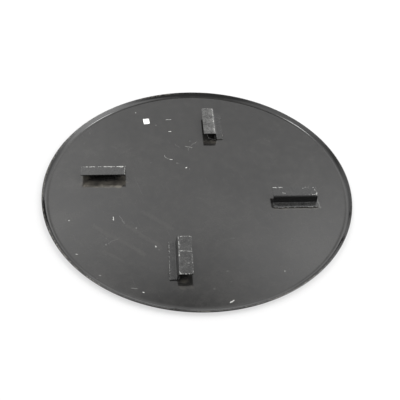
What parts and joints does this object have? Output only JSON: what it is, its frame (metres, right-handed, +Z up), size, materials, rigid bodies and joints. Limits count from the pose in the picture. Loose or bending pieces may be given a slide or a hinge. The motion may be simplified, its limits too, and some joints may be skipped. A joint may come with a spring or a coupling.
{
  "type": "power trowel float pan",
  "caption": "Round sheet-steel float pan with a low turned-up rim and four folded clips on its floor that hold a power trowel's blades.",
  "frame": {"origin": "centre of the pan on its flat underside", "axes": "+Z up out of the dish; the four clips point along +X (right), +Y (back), -X (left) and -Y (front)"},
  "size_m": [0.942, 0.942, 0.0296],
  "materials": {
    "pan_enamel": "glossy black enamel, dusty and lightly scratched",
    "clip_enamel": "black enamel rubbed grey by the blades, worn to bare steel along the edges",
    "weld_enamel": "weld beads painted over with the same black enamel",
    "label_paper": "plain white paper sticker, slightly soiled"
  },
  "bodies": {
    "root": {"pan_disc": "pan_enamel", "clip_right": "clip_enamel", "weld_right_pocket_inner": "weld_enamel", "weld_right_pocket_outer": "weld_enamel", "weld_right_edge_inner": "weld_enamel", "weld_right_edge_outer": "weld_enamel", "clip_back": "clip_enamel", "weld_back_pocket_inner": "weld_enamel", "weld_back_pocket_outer": "weld_enamel", "weld_back_edge_inner": "weld_enamel", "weld_back_edge_outer": "weld_enamel", "clip_left": "clip_enamel", "weld_left_pocket_inner": "weld_enamel", "weld_left_pocket_outer": "weld_enamel", "weld_left_edge_inner": "weld_enamel", "weld_left_edge_outer": "weld_enamel", "clip_front": "clip_enamel", "weld_front_pocket_inner": "weld_enamel", "weld_front_pocket_outer": "weld_enamel", "weld_front_edge_inner": "weld_enamel", "weld_front_edge_outer": "weld_enamel", "label": "label_paper"}
  },
  "joints": []
}
